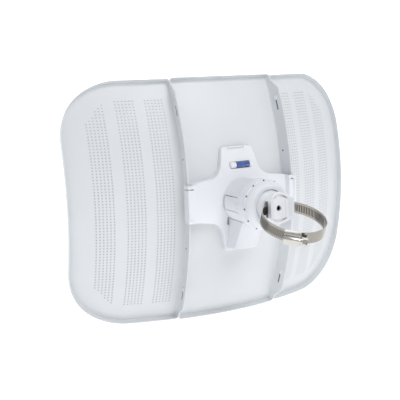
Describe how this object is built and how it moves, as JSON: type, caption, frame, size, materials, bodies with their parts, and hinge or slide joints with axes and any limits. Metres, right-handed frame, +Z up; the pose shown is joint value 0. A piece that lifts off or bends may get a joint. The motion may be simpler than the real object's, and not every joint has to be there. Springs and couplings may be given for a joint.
{
  "type": "outdoor wireless bridge",
  "caption": "Directional outdoor radio bridge: three-panel steel dish, front feed, rear bracket with level, lockable ball mount and worm-screw pole band.",
  "frame": {"origin": "centre line of the pole at the middle of the mount's curved cradle", "axes": "+Z up along the pole, +X to the left as seen from behind, -Y the way the dish looks"},
  "size_m": [0.362, 0.2426, 0.2696],
  "materials": {
    "panel_paint": "fine satin powder coat",
    "rivet_steel": "painted with the panels",
    "mount_plastic": "fine moulded satin",
    "liner_plastic": "smooth",
    "nut_plastic": "fine moulded satin",
    "bracket_plastic": "fine moulded satin",
    "vial_clear": "polished clear acrylic",
    "vial_liquid": "clear blue spirit",
    "vial_air": "air",
    "vial_end": "smooth",
    "band_steel": "rolled stainless steel",
    "screw_steel": "machined steel",
    "feed_plastic": "fine moulded satin",
    "seal_rubber": "moulded",
    "spacer_plastic": "moulded",
    "reflector_metal": "spun",
    "board_green": "solder mask",
    "tinned_steel": "tinned",
    "chip_black": "moulded",
    "radiator_brass": "rolled",
    "contact_gold": "gold flash",
    "button_plastic": "moulded",
    "led_lens": "clear"
  },
  "bodies": {
    "pole_mount": {"pole_mount": "mount_plastic"},
    "front_seat": {"front_liner": "liner_plastic"},
    "rear_seat": {"rear_liner": "liner_plastic"},
    "dish": {"centre_panel": "panel_paint", "left_wing": "panel_paint", "right_wing": "panel_paint", "seam_rivets_left": "rivet_steel", "seam_rivets_right": "rivet_steel", "rear_bracket": "bracket_plastic", "vial_tube": "vial_clear", "vial_liquid": "vial_liquid", "vial_caps": "vial_end", "feed_tube": "feed_plastic", "feed_radome": "feed_plastic", "feed_lock_ring": "feed_plastic", "feed_screws": "screw_steel", "feed_gasket": "seal_rubber", "reflector_spacer": "spacer_plastic", "sub_reflector": "reflector_metal", "feed_board": "board_green", "shield_can": "tinned_steel", "board_chips": "chip_black", "radiator_plate": "radiator_brass", "radiator_dipole": "radiator_brass", "port_board": "board_green", "board_link": "chip_black", "ethernet_jack": "chip_black", "jack_shield": "tinned_steel", "jack_contacts": "contact_gold", "reset_switch": "chip_black", "status_leds": "led_lens"},
    "vial_bubble": {"vial_bubble": "vial_air"},
    "pressure_ring": {"pressure_ring": "mount_plastic"},
    "lock_nut": {"lock_nut": "nut_plastic"},
    "ratchet_pawl": {"ratchet_pawl": "bracket_plastic"},
    "cable_hood": {"cable_hood": "bracket_plastic"},
    "reset_button": {"reset_button": "button_plastic"},
    "band": {"band_strap": "band_steel", "worm_housing": "band_steel"},
    "worm_screw": {"worm_screw": "screw_steel"}
  },
  "joints": [
    {"name": "pan", "type": "hinge", "parent": "pole_mount", "child": "front_seat", "pos_m": [0, -0.046, 0], "axis": [0, 0, 1], "range_deg": [-12, 12]},
    {"name": "tilt", "type": "hinge", "parent": "front_seat", "child": "rear_seat", "pos_m": [0, -0.046, 0], "axis": [1, 0, 0], "range_deg": [-12, 12]},
    {"name": "level", "type": "hinge", "parent": "rear_seat", "child": "dish", "pos_m": [0, -0.046, 0], "axis": [0, 1, 0], "range_deg": [-20, 20]},
    {"name": "bubble_run", "type": "slide", "parent": "dish", "child": "vial_bubble", "axis": [1, 0, 0], "range_m": [-0.0025, 0.0025]},
    {"name": "nut_turn", "type": "hinge", "parent": "pressure_ring", "child": "lock_nut", "pos_m": [0, -0.046, 0], "axis": [0, 1, 0], "range_deg": [0, 180]},
    {"name": "nut_travel", "type": "slide", "parent": "dish", "child": "pressure_ring", "axis": [0, 1, 0], "range_m": [0, 0.0015]},
    {"name": "pawl_press", "type": "hinge", "parent": "dish", "child": "ratchet_pawl", "pos_m": [0.0234, -0.0695, 0], "axis": [0, 0, 1], "range_deg": [-2, 0], "stiffness_Nm_per_rad": 0.5},
    {"name": "hood_slide", "type": "slide", "parent": "dish", "child": "cable_hood", "axis": [0, 0, -1], "range_m": [0, 0.03]},
    {"name": "reset_press", "type": "slide", "parent": "dish", "child": "reset_button", "axis": [0, 0, 1], "range_m": [0, 0.0005], "stiffness_N_per_m": 400},
    {"name": "band_swing", "type": "hinge", "parent": "pole_mount", "child": "band", "pos_m": [0, -0.02145, 0.001], "axis": [1, 0, 0], "range_deg": [-2, 38]},
    {"name": "worm_turn", "type": "hinge", "parent": "band", "child": "worm_screw", "pos_m": [0.02263, 0.03717, -0.02033], "axis": [-0.7986, 0.5655, -0.2058], "continuous": true}
  ],
  "couplings": [
    {"joint": "nut_travel", "follows": "nut_turn", "m_per_rad": 0.00047746},
    {"joint": "bubble_run", "follows": "level", "m_per_rad": 0.00716}
  ]
}
